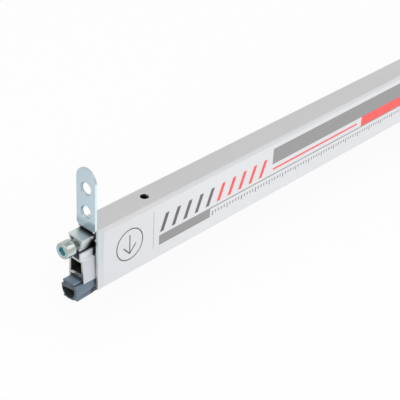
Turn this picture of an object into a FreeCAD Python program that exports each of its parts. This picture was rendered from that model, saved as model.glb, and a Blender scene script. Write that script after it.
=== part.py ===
import FreeCAD, Part
import os
import Sketcher

# Automatic door bottom seal of the mortised kind, in millimetres.
# The origin is the middle of the roof of the housing. X runs along the housing from the plunger
# end to the far end, -Y is the labelled side, +Z is up, and Z = 0 is the roof's outer face.

doc = FreeCAD.newDocument("door_bottom_seal")
sheet = doc.addObject("Spreadsheet::Sheet", "Sizes")
same_place = 1e-4    # millimetres within which an edge is taken to stand where it is looked for

sizes = {
    # Housing: a channel that is open along its bottom.
    "housing_length": 430.0,
    "housing_width": 12.0,
    "housing_height": 30.0,
    "housing_wall": 1.1,
    "housing_corner": 0.4,            # rounding of the two outer roof edges
    "upper_rib_drop": 4.95,           # roof face down to the top of the upper guide rib
    "upper_rib_height": 1.1,
    "upper_rib_depth": 0.65,
    "lower_rib_drop": 11.6,
    "lower_rib_height": 1.3,
    "lower_rib_depth": 0.25,
    "roof_hole_diameter": 4.0,
    "roof_hole_inset": 32.6,          # from the plunger end

    # Product film on the front wall.
    "label_inset": 3.0,               # bare metal left at the plunger end
    "label_length": 300.0,
    "label_top_drop": 2.3,            # bare band along the roof edge
    "label_bottom_rise": 0.3,
    "label_thickness": 0.1,

    # End brackets: bent steel plates with a tab above the roof and a leg under it.
    "bracket_sheet": 1.0,
    "bracket_width": 11.4,
    "bracket_rise": 27.6,             # tab height above the roof
    "bracket_top_flat": 0.02,         # left between the two roundings of the top
    "bracket_gap": 0.1,               # tab to the end of the housing, and the inner bend radius
    "bracket_leg_length": 26.0,
    "bracket_leg_width": 8.8,
    "bracket_neck_rise": 0.1,         # where the tab starts to narrow, above the roof
    "bracket_hole_diameter": 5.2,
    "bracket_countersink": 6.4,
    "bracket_lower_hole": 6.8,        # height above the roof
    "bracket_hole_pitch": 11.2,

    # Plunger: a dovetail profile with the nut and the adjusting screw in its end.
    "pusher_standout": 6.84,
    "pusher_length": 49.0,
    "pusher_height": 6.3,
    "pusher_top_width": 8.74,
    "pusher_foot_width": 5.2,
    "pusher_wall": 0.9,
    "pusher_headroom": 0.45,          # under the leg of the bracket
    "nut_length": 20.0,
    "nut_recess": 0.4,
    "nut_pin_inset": 17.5,            # from the outer end of the nut
    "screw_drop": 3.9,                # screw axis below the top of the plunger
    "screw_diameter": 4.0,
    "screw_shank_length": 16.0,
    "screw_tip_chamfer": 0.6,
    "screw_head_diameter": 7.4,
    "screw_head_length": 4.8,
    "screw_head_bevel": 0.6,
    "screw_head_gap": 2.65,           # from the head to the end of the plunger, as adjusted
    "screw_hex_across": 3.7,
    "screw_socket_depth": 2.2,

    # Push strip, under the roof.
    "strip_start_inset": 36.0,        # from the plunger end of the housing
    "strip_width": 5.0,
    "strip_thickness": 1.0,
    "strip_overhang": 9.0,            # past the pin of the far slider
    "strip_pin_inset": 3.0,           # from the start of the strip

    # Leaf springs and the blocks at their ends.
    "spring_span": 120.0,             # pin to pin
    "spring_bow": 3.75,               # sag of the leaf at its middle, seal drawn up
    "near_spring_gap": 4.3,           # from the plunger to the near slider
    "far_spring_gap": 20.5,           # from the far fixed block to the leg of the far bracket
    "leaf_width": 5.0,
    "leaf_thickness": 0.5,
    "eye_wall": 0.5,
    "spring_pin_drop": 5.0,           # pin axis below the roof face
    "block_length": 18.0,
    "block_height": 6.6,
    "block_solid_end": 6.8,           # the end that the leaf doesn't enter

    # Pins, rivets and clearances.
    "pin_diameter": 2.0,
    "pin_countersink": 3.0,
    "strip_pin_length": 4.6,
    "anchor_rivet_drop": 3.6,         # axis below the roof face
    "anchor_rivet_length": 3.1,
    "cross_pin_diameter": 1.5,
    "foot_pin_offset": 4.0,           # from the middle of a carrier foot, towards the plunger
    "cross_pin_drop": 2.0,            # below the tops of the carrier's flanges
    "rivet_head_diameter": 3.4,
    "rivet_head_height": 0.8,
    "rivet_shank_length": 4.0,
    "seat_clearance": 0.05,           # between pieces that are fitted together
    "running_clearance": 0.2,
    "side_clearance": 0.3,
    "cut_over": 1.0,                  # how far a cut runs on past the piece

    # Carrier: the profile that is lowered, with the seal in its bottom groove.
    "carrier_standout": 6.63,
    "carrier_far_inset": 0.5,
    "carrier_drop": 9.3,              # roof face down to the tops of the flanges
    "carrier_flange_height": 4.15,
    "carrier_flange_width": 5.5,
    "carrier_flange_wall": 0.8,
    "carrier_shoulder_width": 8.3,
    "carrier_foot_width": 9.2,
    "carrier_body_height": 11.0,
    "carrier_wall": 1.05,
    "carrier_web": 1.0,
    "carrier_box_height": 5.7,        # clear height of the closed hollow
    "carrier_lip": 0.5,
    "spring_foot_length": 14.0,
    "spring_foot_clearance": 0.1,

    # Silicone seal.
    "seal_standout": 11.1,
    "seal_far_standout": 4.5,
    "seal_head_width": 6.5,
    "seal_head_thickness": 0.75,
    "seal_neck_width": 3.8,
    "seal_neck_clearance": 0.25,
    "seal_gap": 0.1,                  # between the bulb and the carrier
    "seal_bulb_width": 8.9,
    "seal_bulb_height": 7.3,
    "seal_side_height": 4.2,          # straight part of each side of the bulb
    "seal_shoulder_round": 0.5,
    "seal_side_round": 1.4,
    "seal_shoulder_thickness": 2.0,
    "seal_wall": 0.8,
    "seal_waist_width": 7.2,          # between the upper roots of the two fins
    "seal_waist_drop": 5.95,          # below the top of the bulb
    "seal_fin_span": 8.8,             # from tip to tip, level with the flat strip
    "seal_fin_thickness": 0.3,
    "seal_fin_foot_width": 5.4,       # between the lower roots of the two fins
    "seal_fin_foot_drop": 6.75,       # below the top of the bulb
    "seal_flat": 2.4,                 # width of the flat strip under the bulb
}

for row, (alias, number) in enumerate(sizes.items(), 1):
    sheet.set("A%d" % row, alias.replace("_", " "))
    sheet.set("B%d" % row, str(number))
    sheet.setAlias("B%d" % row, alias)
doc.recompute()


def size(formula):
    """Turn a formula of size names into an expression on the sheet."""
    words = formula.replace("(", " ( ").replace(")", " ) ").split()
    return " ".join("Sizes." + word if word in sizes else word for word in words)


def worked_out(formula):
    """Give the present value of a formula of size names."""
    found = sheet.evalExpression(size(formula))
    return float(getattr(found, "Value", found))


# Places that several pieces share, as formulas of size names.
near_end = "( - housing_length / 2 )"
far_end = "( housing_length / 2 )"
half_inside = "( housing_width / 2 - housing_wall )"
upper_rib_tip = "( housing_width / 2 - housing_wall - upper_rib_depth )"
lower_rib_tip = "( housing_width / 2 - housing_wall - lower_rib_depth )"
leg_bottom = "( - housing_wall - bracket_sheet )"
pusher_top = "( - housing_wall - bracket_sheet - pusher_headroom )"
pusher_end = "( - housing_length / 2 - pusher_standout )"
pusher_lean = "( ( pusher_top_width - pusher_foot_width ) / 2 / pusher_height )"
strip_start = "( - housing_length / 2 + strip_start_inset )"
pin_hole = "( pin_diameter / 2 + seat_clearance )"
cross_pin_hole = "( cross_pin_diameter / 2 + seat_clearance )"
eye_radius = "( pin_diameter / 2 + seat_clearance + eye_wall )"
block_top = "( - housing_wall - running_clearance )"
block_pin_inset = "( block_solid_end + " + eye_radius + " + running_clearance )"
half_spring = "( spring_span / 2 + " + block_pin_inset + " )"
near_middle = "( " + pusher_end + " + pusher_length + near_spring_gap + " + half_spring + " )"
far_middle = "( " + far_end + " - bracket_leg_length - far_spring_gap - " + half_spring + " )"
leaf_radius = "( ( spring_span * spring_span / 4 + spring_bow * spring_bow ) / 2 / spring_bow )"
leaf_level = "( - spring_pin_drop - spring_bow )"
carrier_floor = "( - carrier_drop - carrier_flange_height )"
carrier_bottom = "( - carrier_drop - carrier_flange_height - carrier_body_height )"


def new_body(name, x="0", y="0", z="0", turned=False):
    """Start a body at a place given by formulas, turned end for end if asked."""
    body = doc.addObject("PartDesign::Body", name)
    body.Label = name
    if turned:
        body.Placement.Rotation = FreeCAD.Rotation(FreeCAD.Vector(0, 0, 1), 180)
    for axis, formula in (("x", x), ("y", y), ("z", z)):
        body.setExpression("Placement.Base." + axis, size(formula))
    return body


def own_plane(body, role):
    for datum in body.Origin.OriginFeatures:
        if datum.Role == role:
            return (datum, [""])


def new_sketch(body, plane, name):
    sketch = body.newObject("Sketcher::SketchObject", body.Name + "_" + name)
    sketch.AttachmentSupport = own_plane(body, plane)
    sketch.MapMode = "FlatFace"
    return sketch


def tie(sketch, kind, *geometry, formula):
    """Add a measured constraint that reads its value from the sheet."""
    index = sketch.addConstraint(Sketcher.Constraint(kind, *geometry, worked_out(formula)))
    sketch.setExpression("Constraints[%d]" % index, size(formula))


def tie_point(sketch, piece, end, across, up):
    """Fix one point of a piece of geometry at a place given by two formulas."""
    tie(sketch, "DistanceX", -1, 1, piece, end, formula=across)
    tie(sketch, "DistanceY", -1, 1, piece, end, formula=up)


def draw_outline(sketch, corners):
    """Draw a closed outline through corners given as pairs of formulas."""
    places = [FreeCAD.Vector(worked_out(across), worked_out(up), 0) for across, up in corners]
    first = sketch.GeometryCount
    for index, place in enumerate(places):
        sketch.addGeometry(Part.LineSegment(place, places[(index + 1) % len(places)]), False)
    for index, (across, up) in enumerate(corners):
        following = first + (index + 1) % len(corners)
        sketch.addConstraint(Sketcher.Constraint("Coincident", first + index, 2, following, 1))
        tie_point(sketch, first + index, 1, across, up)


def draw_circle(sketch, across, up, radius):
    centre = FreeCAD.Vector(worked_out(across), worked_out(up), 0)
    circle = Part.Circle(centre, FreeCAD.Vector(0, 0, 1), worked_out(radius))
    index = sketch.addGeometry(circle, False)
    tie_point(sketch, index, 3, across, up)
    tie(sketch, "Radius", index, formula=radius)


def finish_feature(body, feature):
    body.Tip = feature
    doc.recompute()
    return feature


def pad(body, sketch, length, symmetric=False):
    feature = body.newObject("PartDesign::Pad", sketch.Name + "_pad")
    feature.Profile = sketch
    feature.setExpression("Length", size(length))
    if symmetric:
        feature.SideType = "Symmetric"
    return finish_feature(body, feature)


def pocket(body, sketch, length, symmetric=False, forward=False):
    """Cut a sketch through a body, against the sketch's own direction unless forward is set."""
    before = body.Shape.Volume
    feature = body.newObject("PartDesign::Pocket", sketch.Name + "_pocket")
    feature.Profile = sketch
    feature.setExpression("Length", size(length))
    feature.Reversed = forward
    if symmetric:
        feature.SideType = "Symmetric"
    finish_feature(body, feature)
    if not body.Shape.Volume < before:
        raise ValueError(sketch.Name + " cuts nothing")
    return feature


def mirror(body, feature, plane):
    copy = body.newObject("PartDesign::Mirrored", feature.Name + "_mirrored")
    copy.Originals = [feature]
    copy.MirrorPlane = own_plane(body, plane)
    return finish_feature(body, copy)


def straight_edges(body, axis, spots):
    """Name the edges that run along an axis at spots on the two other axes, given as formulas."""
    others = [other for other in "xyz" if other != axis]
    wanted = [(worked_out(first), worked_out(second)) for first, second in spots]
    names = []
    for index, edge in enumerate(body.Tip.Shape.Edges, 1):
        ends = [vertex.Point for vertex in edge.Vertexes]
        if len(ends) != 2:
            continue
        places = [[getattr(point, other) for other in others] for point in ends]
        for spot in wanted:
            if all(abs(place[side] - spot[side]) < same_place for place in places for side in (0, 1)):
                names.append("Edge%d" % index)
    return names


def round_edges(body, axis, level):
    """Name the full circles whose plane stands at a level along an axis, given as a formula."""
    names = []
    for index, edge in enumerate(body.Tip.Shape.Edges, 1):
        if isinstance(edge.Curve, Part.Circle) and edge.Closed:
            if abs(getattr(edge.Curve.Center, axis) - worked_out(level)) < same_place:
                names.append("Edge%d" % index)
    return names


def both_sides(spots):
    return spots + [("- " + across, up) for across, up in spots]


def ease(body, kind, names, amount):
    """Fillet or chamfer named edges of the last feature by an amount given as a formula."""
    base = body.Tip
    feature = body.newObject("PartDesign::" + kind, base.Name + "_" + kind.lower())
    feature.Base = (base, names)
    feature.setExpression("Radius" if kind == "Fillet" else "Size", size(amount))
    return finish_feature(body, feature)


def extruded(name, corners, length, **place):
    """A drawn profile: half of its section, mirrored, and drawn out along X."""
    body = new_body(name, **place)
    section = new_sketch(body, "YZ_Plane", "section")
    draw_outline(section, corners)
    mirror(body, pad(body, section, length), "XZ_Plane")
    return body


def make_housing():
    """The channel: roof, two walls, two guide ribs on each wall, open along the bottom."""
    body = extruded("housing_profile", [
        ("0", "0"),
        ("housing_width / 2", "0"),
        ("housing_width / 2", "- housing_height"),
        (half_inside, "- housing_height"),
        (half_inside, "- lower_rib_drop - lower_rib_height"),
        (lower_rib_tip, "- lower_rib_drop - lower_rib_height + lower_rib_depth"),
        (lower_rib_tip, "- lower_rib_drop - lower_rib_depth"),
        (half_inside, "- lower_rib_drop"),
        (half_inside, "- upper_rib_drop - upper_rib_height"),
        (upper_rib_tip, "- upper_rib_drop - upper_rib_height"),
        (upper_rib_tip, "- upper_rib_drop"),
        (half_inside, "- upper_rib_drop"),
        (half_inside, "- housing_wall"),
        ("0", "- housing_wall"),
    ], "housing_length", x=near_end)
    corners = straight_edges(body, "x", both_sides([("housing_width / 2", "0")]))
    ease(body, "Fillet", corners, "housing_corner")

    roof_hole = new_sketch(body, "XY_Plane", "roof_hole")
    draw_circle(roof_hole, "roof_hole_inset", "0", "roof_hole_diameter / 2")
    pocket(body, roof_hole, "2 * ( housing_wall + cut_over )", symmetric=True)

    rivet_holes = new_sketch(body, "XZ_Plane", "rivet_holes")
    for rivet_place in anchor_rivet_places():
        draw_circle(rivet_holes, rivet_place + " - " + near_end, "- anchor_rivet_drop", pin_hole)
    pocket(body, rivet_holes, "housing_width")
    return body


def make_label():
    """The thin printed film on the front wall."""
    body = new_body("product_label", x=near_end, y="- housing_width / 2")
    outline = new_sketch(body, "XZ_Plane", "outline")
    draw_outline(outline, [
        ("label_inset", "label_bottom_rise - housing_height"),
        ("label_inset + label_length", "label_bottom_rise - housing_height"),
        ("label_inset + label_length", "- label_top_drop"),
        ("label_inset", "- label_top_drop"),
    ])
    pad(body, outline, "label_thickness")
    return body


def make_bracket(name, x, turned):
    """A bent plate: round-topped tab with two countersunk holes, and a narrow leg under the roof."""
    body = new_body(name, x=x, turned=turned)
    outer_face = "( - bracket_gap - bracket_sheet )"
    inner_face = "( - bracket_gap )"
    side = new_sketch(body, "XZ_Plane", "side")
    draw_outline(side, [
        (outer_face, "bracket_rise"),
        (outer_face, leg_bottom),
        ("bracket_leg_length", leg_bottom),
        ("bracket_leg_length", "- housing_wall"),
        (inner_face, "- housing_wall"),
        (inner_face, "bracket_rise"),
    ])
    pad(body, side, "bracket_width", symmetric=True)
    outer_bend = straight_edges(body, "y", [(outer_face, leg_bottom)])
    ease(body, "Fillet", outer_bend, "bracket_sheet + bracket_gap")
    inner_bend = straight_edges(body, "y", [(inner_face, "- housing_wall")])
    ease(body, "Fillet", inner_bend, "bracket_gap")
    top_corners = straight_edges(body, "x", both_sides([("bracket_width / 2", "bracket_rise")]))
    ease(body, "Fillet", top_corners, "( bracket_width - bracket_top_flat ) / 2")

    trim = new_sketch(body, "YZ_Plane", "trim")
    draw_outline(trim, [
        ("bracket_leg_width / 2", leg_bottom + " - bracket_sheet"),
        ("bracket_width", leg_bottom + " - bracket_sheet"),
        ("bracket_width", "bracket_neck_rise"),
        ("bracket_width / 2", "bracket_neck_rise"),
        ("bracket_leg_width / 2", "bracket_gap - housing_wall"),
    ])
    mirror(body, pocket(body, trim, "2 * ( bracket_leg_length + cut_over )", symmetric=True), "XZ_Plane")

    holes = new_sketch(body, "YZ_Plane", "holes")
    for height in ("bracket_lower_hole", "bracket_lower_hole + bracket_hole_pitch"):
        draw_circle(holes, "0", height, "bracket_hole_diameter / 2")
    pocket(body, holes, "2 * ( bracket_gap + bracket_sheet + cut_over )", symmetric=True)
    rims = round_edges(body, "x", outer_face)
    ease(body, "Chamfer", rims, "( bracket_countersink - bracket_hole_diameter ) / 2")
    return body


def make_pusher():
    """The plunger's dovetail profile: a thin top and two legs that lean inwards."""
    inner_top = "( pusher_top_width / 2 - pusher_wall - pusher_wall * " + pusher_lean + " )"
    body = extruded("pusher_profile", [
        ("0", "0"),
        ("pusher_top_width / 2", "0"),
        ("pusher_foot_width / 2", "- pusher_height"),
        ("pusher_foot_width / 2 - pusher_wall", "- pusher_height"),
        (inner_top, "- pusher_wall"),
        ("0", "- pusher_wall"),
    ], "pusher_length", x=pusher_end, z=pusher_top)
    pin_place = new_sketch(body, "XY_Plane", "strip_pin_hole")
    draw_circle(pin_place, "pusher_standout + strip_start_inset + strip_pin_inset", "0", pin_hole)
    pocket(body, pin_place, "2 * ( pusher_wall + cut_over )", symmetric=True)
    nut_pin = new_sketch(body, "XZ_Plane", "nut_pin_hole")
    draw_circle(nut_pin, "nut_recess + nut_pin_inset", "- screw_drop", cross_pin_hole)
    pocket(body, nut_pin, "pusher_top_width", symmetric=True)
    return body


def make_nut():
    """The threaded block that fills the end of the plunger."""
    slack = "( pusher_wall + seat_clearance )"
    body = extruded("screw_nut", [
        ("0", "- " + slack),
        ("pusher_top_width / 2 - " + slack + " - " + slack + " * " + pusher_lean, "- " + slack),
        ("pusher_foot_width / 2 - " + slack, "- pusher_height"),
        ("0", "- pusher_height"),
    ], "nut_length", x=pusher_end + " + nut_recess", z=pusher_top)
    thread = new_sketch(body, "YZ_Plane", "thread")
    draw_circle(thread, "0", "- screw_drop", "screw_diameter / 2 + seat_clearance")
    pocket(body, thread, "nut_length", forward=True)
    pin_place = new_sketch(body, "XZ_Plane", "pin_hole")
    draw_circle(pin_place, "nut_pin_inset", "- screw_drop", cross_pin_hole)
    pocket(body, pin_place, "pusher_top_width", symmetric=True)
    return body


def revolve(body, sketch, axis):
    """Turn a half outline about one of the sketch's own axes."""
    feature = body.newObject("PartDesign::Revolution", sketch.Name + "_turned")
    feature.Profile = sketch
    feature.ReferenceAxis = (sketch, [axis])
    feature.Angle = 360
    return finish_feature(body, feature)


def make_screw():
    """The adjusting screw: a bevelled head with a hexagon socket, and a chamfered shank."""
    tip = "( screw_head_length + screw_shank_length )"
    body = new_body("adjusting_screw", x=pusher_end + " - screw_head_gap - screw_head_length",
                    z=pusher_top + " - screw_drop")
    half = new_sketch(body, "XZ_Plane", "half")
    draw_outline(half, [
        ("0", "0"),
        ("0", "screw_head_diameter / 2"),
        ("screw_head_length", "screw_head_diameter / 2"),
        ("screw_head_length", "screw_diameter / 2"),
        (tip + " - screw_tip_chamfer", "screw_diameter / 2"),
        (tip, "screw_diameter / 2 - screw_tip_chamfer"),
        (tip, "0"),
    ])
    revolve(body, half, "H_Axis")
    ease(body, "Chamfer", round_edges(body, "x", "0"), "screw_head_bevel")
    socket = new_sketch(body, "YZ_Plane", "socket")
    corner = "( screw_hex_across / 3 ^ 0.5 )"    # from the middle to a corner
    draw_outline(socket, [
        ("0", corner),
        ("- screw_hex_across / 2", corner + " / 2"),
        ("- screw_hex_across / 2", "- " + corner + " / 2"),
        ("0", "- " + corner),
        ("screw_hex_across / 2", "- " + corner + " / 2"),
        ("screw_hex_across / 2", corner + " / 2"),
    ])
    pocket(body, socket, "screw_socket_depth", forward=True)
    return body


def slider_pin_places():
    return [near_middle + " - spring_span / 2", far_middle + " - spring_span / 2"]


def anchor_pin_places():
    return [near_middle + " + spring_span / 2", far_middle + " + spring_span / 2"]


def strip_pin_places():
    back = " - " + block_pin_inset + " + block_solid_end / 2"
    return [strip_start + " + strip_pin_inset"] + [place + back for place in slider_pin_places()]


def anchor_rivet_places():
    on = " + " + block_pin_inset + " - block_solid_end / 2"
    return [place + on for place in anchor_pin_places()]


def foot_pin_places():
    return [middle + " - foot_pin_offset" for middle in (near_middle, far_middle)]


def make_strip():
    """The flat strip that carries the push from the plunger to the two sliders."""
    body = new_body("push_strip", x=strip_start, z=pusher_top)
    outline = new_sketch(body, "XY_Plane", "outline")
    length = "( " + slider_pin_places()[1] + " + strip_overhang - " + strip_start + " )"
    draw_outline(outline, [
        ("0", "- strip_width / 2"),
        (length, "- strip_width / 2"),
        (length, "strip_width / 2"),
        ("0", "strip_width / 2"),
    ])
    pad(body, outline, "strip_thickness")
    holes = new_sketch(body, "XY_Plane", "pin_holes")
    for place in strip_pin_places():
        draw_circle(holes, place + " - " + strip_start, "0", pin_hole)
    pocket(body, holes, "2 * ( strip_thickness + cut_over )", symmetric=True)
    rims = round_edges(body, "z", "strip_thickness")
    ease(body, "Chamfer", rims, "( pin_countersink - pin_diameter ) / 2")
    return body


def make_block(name, x, turned, riveted):
    """A moulded block that rides on the upper ribs, forked at one end for the eye of a leaf."""
    channel_half = "( strip_width / 2 + running_clearance )"
    channel_floor = "( " + pusher_top + " - " + block_top + " - 2 * seat_clearance )"
    shoulder = "( running_clearance - upper_rib_drop - " + block_top + " )"
    pin_level = "( - spring_pin_drop - " + block_top + " )"
    body = extruded(name, [
        ("0", channel_floor),
        (channel_half, channel_floor),
        (channel_half, "0"),
        (half_inside + " - side_clearance", "0"),
        (half_inside + " - side_clearance", shoulder),
        (upper_rib_tip + " - side_clearance", shoulder),
        (upper_rib_tip + " - side_clearance", "- block_height"),
        ("0", "- block_height"),
    ], "block_length", x=x, z=block_top, turned=turned)

    fork = new_sketch(body, "XZ_Plane", "fork")
    fork_top = pin_level + " + " + eye_radius + " + running_clearance"
    draw_outline(fork, [
        ("block_solid_end", "- block_height - cut_over"),
        ("block_length + cut_over", "- block_height - cut_over"),
        ("block_length + cut_over", fork_top),
        ("block_solid_end", fork_top),
    ])
    pocket(body, fork, "leaf_width + 2 * running_clearance", symmetric=True)
    pin_place = new_sketch(body, "XZ_Plane", "pin_hole")
    draw_circle(pin_place, block_pin_inset, pin_level, pin_hole)
    pocket(body, pin_place, "housing_width", symmetric=True)
    if riveted:
        rivet_place = new_sketch(body, "XZ_Plane", "rivet_hole")
        draw_circle(rivet_place, "block_solid_end / 2",
                    "- anchor_rivet_drop - " + block_top, pin_hole)
        pocket(body, rivet_place, "housing_width", forward=True)
    else:
        strip_pin = new_sketch(body, "XY_Plane", "strip_pin_hole")
        draw_circle(strip_pin, "block_solid_end / 2", "0", pin_hole)
        pocket(body, strip_pin, "strip_pin_length + cut_over")
    return body


def make_leaf(name, x):
    """A bowed leaf spring with a rolled eye at each end and a rivet hole at its middle."""
    body = new_body(name, x=x)
    bow = new_sketch(body, "XZ_Plane", "bow")
    centre = FreeCAD.Vector(0, worked_out(leaf_level + " + " + leaf_radius), 0)
    ends = []
    for skin in (" - leaf_thickness / 2", " + leaf_thickness / 2"):
        radius = leaf_radius + skin
        reach = "( spring_span / 2 * ( " + radius + " ) / " + leaf_radius + " )"
        circle = Part.Circle(centre, FreeCAD.Vector(0, 0, 1), worked_out(radius))
        fall = (worked_out(radius) ** 2 - worked_out(reach) ** 2) ** 0.5
        left = FreeCAD.Vector(-worked_out(reach), centre.y - fall, 0)
        right = FreeCAD.Vector(worked_out(reach), centre.y - fall, 0)
        arc = Part.ArcOfCircle(circle, circle.parameter(left), circle.parameter(right))
        index = bow.addGeometry(arc, False)
        tie_point(bow, index, 3, "0", leaf_level + " + " + leaf_radius)
        tie(bow, "Radius", index, formula=radius)
        tie(bow, "DistanceX", -1, 1, index, 1, formula="- " + reach)
        tie(bow, "DistanceX", -1, 1, index, 2, formula=reach)
        ends.append((index, left, right))
    (inner, inner_left, inner_right), (outer, outer_left, outer_right) = ends
    for end, start, finish in ((1, inner_left, outer_left), (2, inner_right, outer_right)):
        line = bow.addGeometry(Part.LineSegment(start, finish), False)
        bow.addConstraint(Sketcher.Constraint("Coincident", line, 1, inner, end))
        bow.addConstraint(Sketcher.Constraint("Coincident", line, 2, outer, end))
    pad(body, bow, "leaf_width", symmetric=True)

    for kind, radius in (("eyes", eye_radius), ("eye_holes", pin_hole)):
        sketch = new_sketch(body, "XZ_Plane", kind)
        for place in ("- spring_span / 2", "spring_span / 2"):
            draw_circle(sketch, place, "- spring_pin_drop", radius)
        if kind == "eyes":
            pad(body, sketch, "leaf_width", symmetric=True)
        else:
            pocket(body, sketch, "leaf_width + 2 * cut_over", symmetric=True)
    rivet_hole = new_sketch(body, "XY_Plane", "rivet_hole")
    draw_circle(rivet_hole, "0", "0", pin_hole)
    pocket(body, rivet_hole, "spring_pin_drop + spring_bow + leaf_thickness + cut_over")
    return body


def make_carrier():
    """The lowered profile: two flanges, a closed box and a lipped groove for the seal."""
    def outer(depth):
        flare = "( carrier_foot_width - carrier_shoulder_width ) / 2"
        return ("( carrier_shoulder_width / 2 + " + flare + " * ( " + depth
                + " ) / carrier_body_height )")

    def inner(depth):
        return outer(depth) + " - carrier_wall"

    flange_inside = "carrier_flange_width / 2 - carrier_flange_wall"
    floor = "- carrier_flange_height"
    box_top = "carrier_web"
    box_bottom = "carrier_web + carrier_box_height"
    groove_top = "2 * carrier_web + carrier_box_height"
    lip_top = "carrier_body_height - carrier_lip"
    groove_mouth = "seal_neck_width / 2 + seal_neck_clearance"
    body = extruded("carrier_profile", [
        ("0", floor),
        (flange_inside, floor),
        (flange_inside, "0"),
        ("carrier_flange_width / 2", "0"),
        ("carrier_flange_width / 2", floor),
        ("carrier_shoulder_width / 2", floor),
        ("carrier_foot_width / 2", floor + " - carrier_body_height"),
        (groove_mouth, floor + " - carrier_body_height"),
        (groove_mouth, floor + " - ( " + lip_top + " )"),
        (inner(lip_top), floor + " - ( " + lip_top + " )"),
        (inner(groove_top), floor + " - ( " + groove_top + " )"),
        ("0", floor + " - ( " + groove_top + " )"),
        ("0", floor + " - ( " + box_bottom + " )"),
        (inner(box_bottom), floor + " - ( " + box_bottom + " )"),
        (inner(box_top), floor + " - " + box_top),
        ("0", floor + " - " + box_top),
    ], "housing_length + carrier_standout - carrier_far_inset",
        x=near_end + " - carrier_standout", z="- carrier_drop")
    pin_holes = new_sketch(body, "XZ_Plane", "pin_holes")
    for place in foot_pin_places():
        draw_circle(pin_holes, place + " - " + near_end + " + carrier_standout",
                    "- cross_pin_drop", cross_pin_hole)
    pocket(body, pin_holes, "housing_width", symmetric=True)
    return body


def make_spring_foot(name, middle):
    """The block pinned between the carrier's flanges, to which the leaf is riveted."""
    half_width = "( carrier_flange_width / 2 - carrier_flange_wall - spring_foot_clearance )"
    leaf_bottom = leaf_level + " - leaf_thickness / 2 - seat_clearance"
    body = extruded(name, [
        ("0", carrier_floor),
        (half_width, carrier_floor),
        (half_width, leaf_bottom),
        ("0", leaf_bottom),
    ], "spring_foot_length", x=middle + " - spring_foot_length / 2")
    pin_hole_place = new_sketch(body, "XZ_Plane", "pin_hole")
    draw_circle(pin_hole_place, "spring_foot_length / 2 - foot_pin_offset",
                "- carrier_drop - cross_pin_drop", cross_pin_hole)
    pocket(body, pin_hole_place, "housing_width", symmetric=True)
    rivet_hole = new_sketch(body, "XY_Plane", "rivet_hole")
    draw_circle(rivet_hole, "spring_foot_length / 2", "0", pin_hole)
    pocket(body, rivet_hole, "spring_pin_drop + spring_bow + rivet_shank_length")
    return body


def make_seal():
    """The silicone seal: a T-shaped head in the carrier's groove over a hollow bulb with two fins."""
    half = "seal_bulb_width / 2"
    neck_height = "( carrier_lip + seal_gap + seat_clearance )"
    body = extruded("silicone_seal", [
        ("0", neck_height + " + seal_head_thickness"),
        ("seal_head_width / 2", neck_height + " + seal_head_thickness"),
        ("seal_head_width / 2", neck_height),
        ("seal_neck_width / 2", neck_height),
        ("seal_neck_width / 2", "0"),
        (half, "0"),
        (half, "- seal_side_height"),
        ("seal_waist_width / 2", "- seal_waist_drop"),
        ("seal_fin_span / 2", "seal_fin_thickness - seal_bulb_height"),
        ("seal_fin_span / 2", "- seal_bulb_height"),
        ("seal_fin_foot_width / 2", "- seal_fin_foot_drop"),
        ("seal_flat / 2", "- seal_bulb_height"),
        ("0", "- seal_bulb_height"),
        ("0", "seal_wall - seal_bulb_height"),
        ("seal_flat / 2", "seal_wall - seal_bulb_height"),
        ("seal_fin_foot_width / 2", "seal_wall - seal_waist_drop"),
        (half + " - seal_wall", "- seal_side_height"),
        (half + " - seal_wall", "- seal_shoulder_thickness"),
        ("0", "- seal_shoulder_thickness"),
    ], "housing_length + seal_standout + seal_far_standout",
        x=near_end + " - seal_standout", z=carrier_bottom + " - seal_gap")
    shoulders = straight_edges(body, "x", both_sides([(half, "0")]))
    ease(body, "Fillet", shoulders, "seal_shoulder_round")
    sides = straight_edges(body, "x", both_sides([(half, "- seal_side_height")]))
    ease(body, "Fillet", sides, "seal_side_round")
    return body


def crosswise_pins(name, places, level, radius, length, start=None):
    """A group of plain pins across the seal, centred on it unless a start along Y is given."""
    pins = []
    for number, place in enumerate(places, 1):
        pin = doc.addObject("Part::Cylinder", "%s_%d" % (name, number))
        pin.setExpression("Radius", size(radius))
        pin.setExpression("Height", size(length))
        pin.Placement.Rotation = FreeCAD.Rotation(FreeCAD.Vector(1, 0, 0), 90)
        pin.setExpression("Placement.Base.x", size(place))
        pin.setExpression("Placement.Base.y", size(start or "( " + length + " ) / 2"))
        pin.setExpression("Placement.Base.z", size(level))
        pins.append(pin)
    return group(name, pins)


def group(name, pieces):
    """Put like pieces in one sub-part as separate solids."""
    if len(pieces) == 1:
        pieces[0].Label = name
        return pieces[0]
    together = doc.addObject("Part::Compound", name)
    together.Label = name
    together.Links = pieces
    return together


def turned_pieces(name, places, level, corners):
    """A group of like turned pieces with upright axes, from one half outline."""
    pieces = []
    for number, place in enumerate(places, 1):
        body = new_body("%s_%d" % (name, number), x=place, z=level)
        half = new_sketch(body, "XZ_Plane", "half")
        draw_outline(half, corners)
        revolve(body, half, "V_Axis")
        pieces.append(body)
    return group(name, pieces)


def make_strip_pins():
    """Countersunk pins that hold the strip to the plunger and to the two sliders."""
    flare = "( ( pin_countersink - pin_diameter ) / 2 - seat_clearance )"
    return turned_pieces("strip_pins", strip_pin_places(), pusher_top + " + strip_thickness", [
        ("0", "0"),
        ("pin_diameter / 2 + " + flare, "0"),
        ("pin_diameter / 2", "- " + flare),
        ("pin_diameter / 2", "- strip_pin_length"),
        ("0", "- strip_pin_length"),
    ])


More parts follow.
